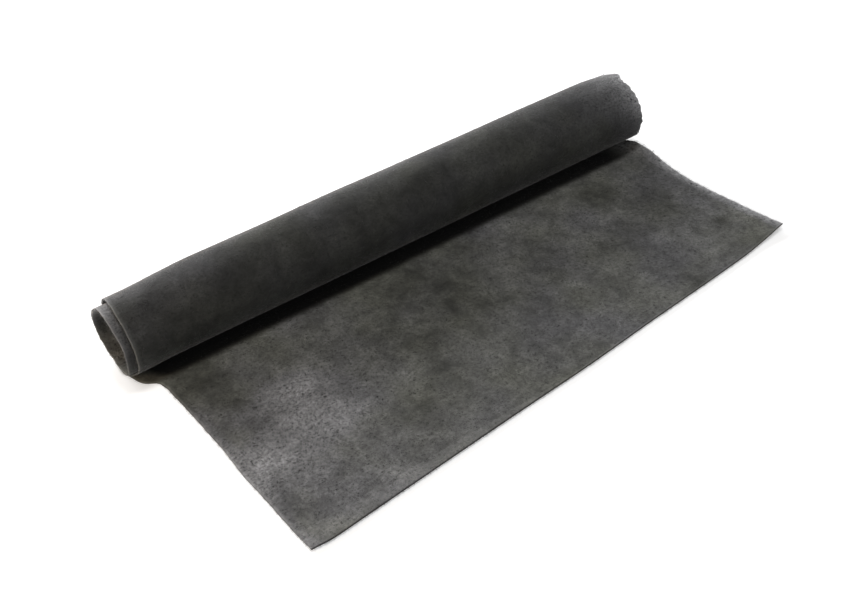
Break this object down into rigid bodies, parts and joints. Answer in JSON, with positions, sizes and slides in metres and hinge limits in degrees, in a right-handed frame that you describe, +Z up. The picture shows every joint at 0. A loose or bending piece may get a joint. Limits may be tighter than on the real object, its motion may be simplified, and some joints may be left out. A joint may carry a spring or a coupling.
{
  "type": "geotextile roll",
  "caption": "Length of felted geotextile wound in loose coreless turns, its free end laid flat as a lap that winds on to the roll.",
  "frame": {"origin": "on the floor, under the middle of the whole part's box", "axes": "+X along the roll towards the end where its turns are set back, -Y towards the front edge of the lap, +Z up"},
  "size_m": [1.0718, 0.5306, 0.1327],
  "materials": {
    "wound_felt": "dark grey needle-punched felt, matt and fibrous",
    "lap_felt": "dark grey needle-punched felt, matt, cloudy with paler patches"
  },
  "bodies": {
    "roll": {"wound_turns": "wound_felt"},
    "lap_01": {"lap_strip_01": "lap_felt"},
    "lap_02": {"lap_strip_02": "lap_felt"},
    "lap_03": {"lap_strip_03": "lap_felt"},
    "lap_04": {"lap_strip_04": "lap_felt"},
    "lap_05": {"lap_strip_05": "lap_felt"},
    "lap_06": {"lap_strip_06": "lap_felt"},
    "lap_07": {"lap_strip_07": "lap_felt"},
    "lap_08": {"lap_strip_08": "lap_felt"},
    "lap_09": {"lap_strip_09": "lap_felt"},
    "lap_10": {"lap_strip_10": "lap_felt"},
    "lap_11": {"lap_strip_11": "lap_felt"},
    "lap_12": {"lap_strip_12": "lap_felt"},
    "lap_13": {"lap_strip_13": "lap_felt"},
    "lap_14": {"lap_strip_14": "lap_felt"},
    "lap_15": {"lap_strip_15": "lap_felt"},
    "lap_16": {"lap_strip_16": "lap_felt"},
    "lap_17": {"lap_strip_17": "lap_felt"},
    "lap_18": {"lap_strip_18": "lap_felt"},
    "lap_19": {"lap_strip_19": "lap_felt"}
  },
  "joints": [
    {"name": "lap_bend_01", "type": "hinge", "parent": "roll", "child": "lap_01", "pos_m": [0, 0.1864, 0.003], "axis": [-1, 0, 0], "range_deg": [0, 19.79]},
    {"name": "lap_bend_02", "type": "hinge", "parent": "lap_01", "child": "lap_02", "pos_m": [0, 0.16387, 0.003], "axis": [-1, 0, 0], "range_deg": [0, 19.79]},
    {"name": "lap_bend_03", "type": "hinge", "parent": "lap_02", "child": "lap_03", "pos_m": [0, 0.1412, 0.003], "axis": [-1, 0, 0], "range_deg": [0, 19.79]},
    {"name": "lap_bend_04", "type": "hinge", "parent": "lap_03", "child": "lap_04", "pos_m": [0, 0.11839, 0.003], "axis": [-1, 0, 0], "range_deg": [0, 19.79]},
    {"name": "lap_bend_05", "type": "hinge", "parent": "lap_04", "child": "lap_05", "pos_m": [0, 0.09544, 0.003], "axis": [-1, 0, 0], "range_deg": [0, 19.79]},
    {"name": "lap_bend_06", "type": "hinge", "parent": "lap_05", "child": "lap_06", "pos_m": [0, 0.07236, 0.003], "axis": [-1, 0, 0], "range_deg": [0, 19.79]},
    {"name": "lap_bend_07", "type": "hinge", "parent": "lap_06", "child": "lap_07", "pos_m": [0, 0.04914, 0.003], "axis": [-1, 0, 0], "range_deg": [0, 19.79]},
    {"name": "lap_bend_08", "type": "hinge", "parent": "lap_07", "child": "lap_08", "pos_m": [0, 0.02577, 0.003], "axis": [-1, 0, 0], "range_deg": [0, 19.79]},
    {"name": "lap_bend_09", "type": "hinge", "parent": "lap_08", "child": "lap_09", "pos_m": [0, 0.00228, 0.003], "axis": [-1, 0, 0], "range_deg": [0, 19.79]},
    {"name": "lap_bend_10", "type": "hinge", "parent": "lap_09", "child": "lap_10", "pos_m": [0, -0.02136, 0.003], "axis": [-1, 0, 0], "range_deg": [0, 19.79]},
    {"name": "lap_bend_11", "type": "hinge", "parent": "lap_10", "child": "lap_11", "pos_m": [0, -0.04513, 0.003], "axis": [-1, 0, 0], "range_deg": [0, 19.79]},
    {"name": "lap_bend_12", "type": "hinge", "parent": "lap_11", "child": "lap_12", "pos_m": [0, -0.06905, 0.003], "axis": [-1, 0, 0], "range_deg": [0, 19.79]},
    {"name": "lap_bend_13", "type": "hinge", "parent": "lap_12", "child": "lap_13", "pos_m": [0, -0.0931, 0.003], "axis": [-1, 0, 0], "range_deg": [0, 19.79]},
    {"name": "lap_bend_14", "type": "hinge", "parent": "lap_13", "child": "lap_14", "pos_m": [0, -0.11729, 0.003], "axis": [-1, 0, 0], "range_deg": [0, 19.79]},
    {"name": "lap_bend_15", "type": "hinge", "parent": "lap_14", "child": "lap_15", "pos_m": [0, -0.14161, 0.003], "axis": [-1, 0, 0], "range_deg": [0, 19.79]},
    {"name": "lap_bend_16", "type": "hinge", "parent": "lap_15", "child": "lap_16", "pos_m": [0, -0.16608, 0.003], "axis": [-1, 0, 0], "range_deg": [0, 19.79]},
    {"name": "lap_bend_17", "type": "hinge", "parent": "lap_16", "child": "lap_17", "pos_m": [0, -0.19068, 0.003], "axis": [-1, 0, 0], "range_deg": [0, 19.79]},
    {"name": "lap_bend_18", "type": "hinge", "parent": "lap_17", "child": "lap_18", "pos_m": [0, -0.21542, 0.003], "axis": [-1, 0, 0], "range_deg": [0, 19.79]},
    {"name": "lap_bend_19", "type": "hinge", "parent": "lap_18", "child": "lap_19", "pos_m": [0, -0.2403, 0.003], "axis": [-1, 0, 0], "range_deg": [0, 19.79]}
  ],
  "couplings": [
    {"joint": "lap_bend_02", "follows": "lap_bend_01", "ratio": 1},
    {"joint": "lap_bend_03", "follows": "lap_bend_01", "ratio": 1},
    {"joint": "lap_bend_04", "follows": "lap_bend_01", "ratio": 1},
    {"joint": "lap_bend_05", "follows": "lap_bend_01", "ratio": 1},
    {"joint": "lap_bend_06", "follows": "lap_bend_01", "ratio": 1},
    {"joint": "lap_bend_07", "follows": "lap_bend_01", "ratio": 1},
    {"joint": "lap_bend_08", "follows": "lap_bend_01", "ratio": 1},
    {"joint": "lap_bend_09", "follows": "lap_bend_01", "ratio": 1},
    {"joint": "lap_bend_10", "follows": "lap_bend_01", "ratio": 1},
    {"joint": "lap_bend_11", "follows": "lap_bend_01", "ratio": 1},
    {"joint": "lap_bend_12", "follows": "lap_bend_01", "ratio": 1},
    {"joint": "lap_bend_13", "follows": "lap_bend_01", "ratio": 1},
    {"joint": "lap_bend_14", "follows": "lap_bend_01", "ratio": 1},
    {"joint": "lap_bend_15", "follows": "lap_bend_01", "ratio": 1},
    {"joint": "lap_bend_16", "follows": "lap_bend_01", "ratio": 1},
    {"joint": "lap_bend_17", "follows": "lap_bend_01", "ratio": 1},
    {"joint": "lap_bend_18", "follows": "lap_bend_01", "ratio": 1},
    {"joint": "lap_bend_19", "follows": "lap_bend_01", "ratio": 1}
  ]
}
